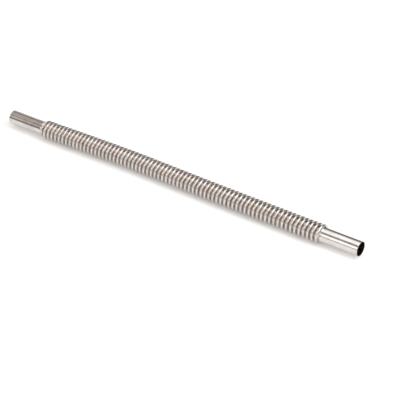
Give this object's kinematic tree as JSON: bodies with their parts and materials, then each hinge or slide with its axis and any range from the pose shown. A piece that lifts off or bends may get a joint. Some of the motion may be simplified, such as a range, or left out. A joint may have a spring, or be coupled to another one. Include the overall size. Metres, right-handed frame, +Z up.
{
  "type": "flexible metal tubing",
  "caption": "Slightly bowed stainless steel tube with plain ends and a helical corrugation along its middle, for a bendable vacuum or fluid connection.",
  "frame": {"origin": "on the surface that the tube lies on, below the middle of its box", "axes": "+X along the tube towards the near plain end; +Y to the side that the slight bow goes; +Z up"},
  "size_m": [0.4572, 0.0238, 0.0213],
  "materials": {
    "steel": "bright drawn stainless steel, smooth, with faint lines along the plain ends"
  },
  "bodies": {
    "root": {"corrugated_tube": "steel"}
  },
  "joints": []
}
